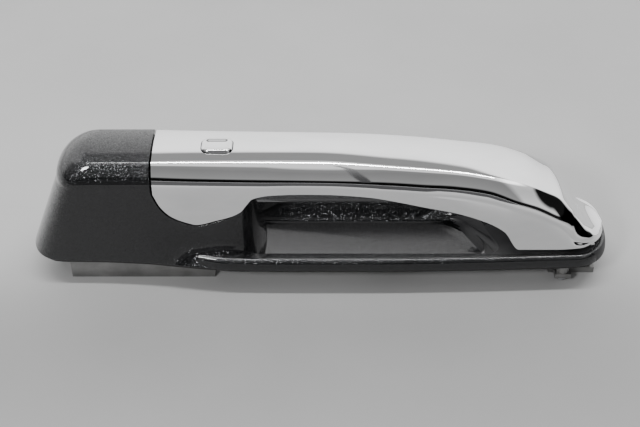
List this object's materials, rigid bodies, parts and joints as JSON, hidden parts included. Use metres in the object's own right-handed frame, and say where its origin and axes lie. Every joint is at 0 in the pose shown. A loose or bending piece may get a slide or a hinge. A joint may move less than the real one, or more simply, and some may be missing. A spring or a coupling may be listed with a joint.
{
  "type": "car door handle",
  "caption": "Exterior car door pull handle: painted base with a hollow end cap and finger well, hinged chrome bow strap, lock button and latch bellcrank.",
  "frame": {"origin": "centre of the bounding box in plan, at the lowest face of the mechanism", "axes": "+X along the handle from the end cap to the pivot, +Y across it, +Z out of the door"},
  "size_m": [0.2504, 0.048, 0.0647],
  "materials": {
    "paint": "dark grey metallic paint under gloss clear coat",
    "chrome": "mirror chrome plate",
    "black_plastic": "black moulded plastic, light grain",
    "rubber": "matt black rubber",
    "zinc": "die-cast metal, passivated",
    "steel": "plated steel",
    "spring_steel": "drawn spring wire",
    "nylon": "natural nylon",
    "board": "green circuit board lacquer",
    "copper": "enamelled copper",
    "ferrite": "dark grey ferrite"
  },
  "bodies": {
    "base": {"base_housing": "paint", "base_gasket": "rubber", "strap_bumper_1": "rubber", "strap_bumper_2": "rubber", "pocket_liner": "black_plastic", "connector_socket": "black_plastic", "mechanism_frame": "zinc", "pivot_bracket": "zinc", "frame_screw_1": "steel", "frame_screw_2": "steel", "frame_screw_3": "steel", "bellcrank_pin": "steel", "bellcrank_clip": "steel", "bracket_screw_1": "steel", "bracket_screw_2": "steel", "pivot_pin": "steel", "pivot_clip": "steel", "mounting_stud_left": "steel", "mounting_stud_right": "steel", "return_spring": "spring_steel", "connector_header": "nylon"},
    "strap": {"strap_cover": "chrome", "strap_back": "black_plastic", "release_leg": "steel", "leg_screw_1": "steel", "leg_screw_2": "steel", "cover_screw_1": "steel", "cover_screw_2": "steel", "pivot_bush_1": "nylon", "pivot_bush_2": "nylon", "circuit_board": "board", "lock_switch": "black_plastic", "button_seal": "rubber", "antenna_core": "ferrite", "antenna_winding": "copper", "touch_sensor": "copper", "strap_lead": "rubber"},
    "lock_button": {"lock_button": "chrome"},
    "bellcrank": {"bellcrank": "zinc", "input_roller": "nylon", "counterweight_1": "steel", "counterweight_2": "steel", "rod_clip": "nylon"}
  },
  "joints": [
    {"name": "strap_pull", "type": "hinge", "parent": "base", "child": "strap", "pos_m": [0.113, 0, 0.0165], "axis": [0, 1, 0], "range_deg": [0, 6], "stiffness_Nm_per_rad": 1.5, "springref_deg": -2.86},
    {"name": "button_press", "type": "slide", "parent": "strap", "child": "lock_button", "axis": [0, 0, -1], "range_m": [0, 0.001], "stiffness_N_per_m": 400, "springref_m": -0.0005},
    {"name": "bellcrank_turn", "type": "hinge", "parent": "base", "child": "bellcrank", "pos_m": [-0.096, 0, 0.022], "axis": [0, 1, 0], "range_deg": [-33, 0], "deforming": ["return_spring"]}
  ],
  "couplings": [
    {"joint": "bellcrank_turn", "follows": "strap_pull", "ratio": -5.33}
  ]
}
